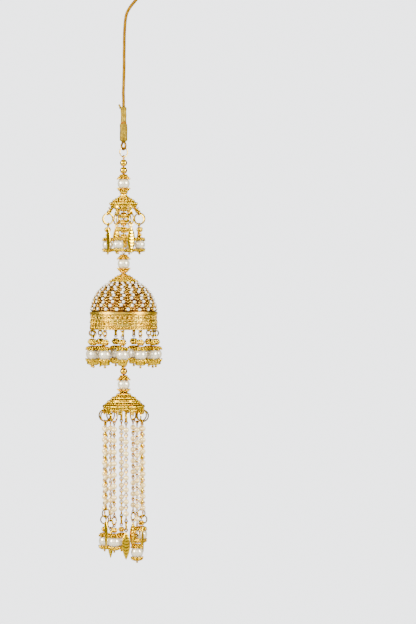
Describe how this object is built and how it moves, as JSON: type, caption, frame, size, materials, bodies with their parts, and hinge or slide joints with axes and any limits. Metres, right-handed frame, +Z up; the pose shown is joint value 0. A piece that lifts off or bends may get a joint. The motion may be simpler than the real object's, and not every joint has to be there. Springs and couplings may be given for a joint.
{
  "type": "kalire bridal ornament",
  "caption": "Hanging bridal wrist ornament: a gold cord carries an umbrella with charms, a pearl-studded bell with pearl drops and a tiered umbrella with pearl strands.",
  "frame": {"origin": "the point that the cord's knotted loop hangs from", "axes": "+Z up along the hanging ornament, +X to the viewer's right, +Y away from the viewer"},
  "size_m": [0.0402, 0.0398, 0.3014],
  "materials": {
    "gold": "polished gold plate",
    "gold_cord": "braided metallic thread",
    "wrap_thread": "wound metallic thread, greyed",
    "pearl": "pearl lustre",
    "strand_pearl": "peach pearl lustre",
    "bell_ground": "darkened metal under seed pearls, gold band"
  },
  "bodies": {
    "root": {"cord": "gold_cord", "cord_knot": "gold_cord", "cord_wrap": "wrap_thread", "cord_end_loop": "gold_cord"},
    "upper_drop": {"centre_beads": "gold", "top_bead_1": "gold", "top_bead_2": "gold", "top_ring": "gold", "upper_cap_base": "gold", "upper_cap_top": "gold", "upper_drop_1": "pearl", "upper_drop_2": "gold", "upper_drop_3": "pearl", "upper_drop_4": "gold", "upper_drop_5": "pearl", "upper_drop_6": "gold", "upper_drop_7": "pearl", "upper_drop_8": "gold", "upper_pearl": "pearl", "upper_pin": "gold", "upper_umbrella": "gold"},
    "jhumka": {"cone_cap": "gold", "dome": "bell_ground", "jhumka_cap_base": "gold", "jhumka_cap_top": "gold", "jhumka_drop_1": "pearl", "jhumka_drop_10": "pearl", "jhumka_drop_11": "pearl", "jhumka_drop_2": "pearl", "jhumka_drop_3": "pearl", "jhumka_drop_4": "pearl", "jhumka_drop_5": "pearl", "jhumka_drop_6": "pearl", "jhumka_drop_7": "pearl", "jhumka_drop_8": "pearl", "jhumka_drop_9": "pearl", "jhumka_pearl": "pearl", "jhumka_pin": "gold"},
    "tassel": {"strand_1": "strand_pearl", "strand_10": "strand_pearl", "strand_2": "strand_pearl", "strand_3": "strand_pearl", "strand_4": "strand_pearl", "strand_5": "strand_pearl", "strand_6": "strand_pearl", "strand_7": "strand_pearl", "strand_8": "strand_pearl", "strand_9": "strand_pearl", "tassel_bead_1": "gold", "tassel_bead_2": "gold", "tassel_cap_base": "gold", "tassel_cap_top": "gold", "tassel_pearl": "pearl", "tassel_pin": "gold", "tassel_umbrella": "gold"}
  },
  "joints": [
    {"name": "ring_swing", "type": "hinge", "parent": "root", "child": "upper_drop", "pos_m": [-0.0123, 0, -0.085], "axis": [0.5736, -0.8192, 0], "range_deg": [-40, 40]},
    {"name": "bell_swing", "type": "hinge", "parent": "upper_drop", "child": "jhumka", "pos_m": [-0.0123, 0, -0.13815], "axis": [0, 1, 0], "range_deg": [-25, 25]},
    {"name": "tassel_swing", "type": "hinge", "parent": "jhumka", "child": "tassel", "pos_m": [-0.0123, 0, -0.19326], "axis": [0, 1, 0], "range_deg": [-25, 25]}
  ]
}
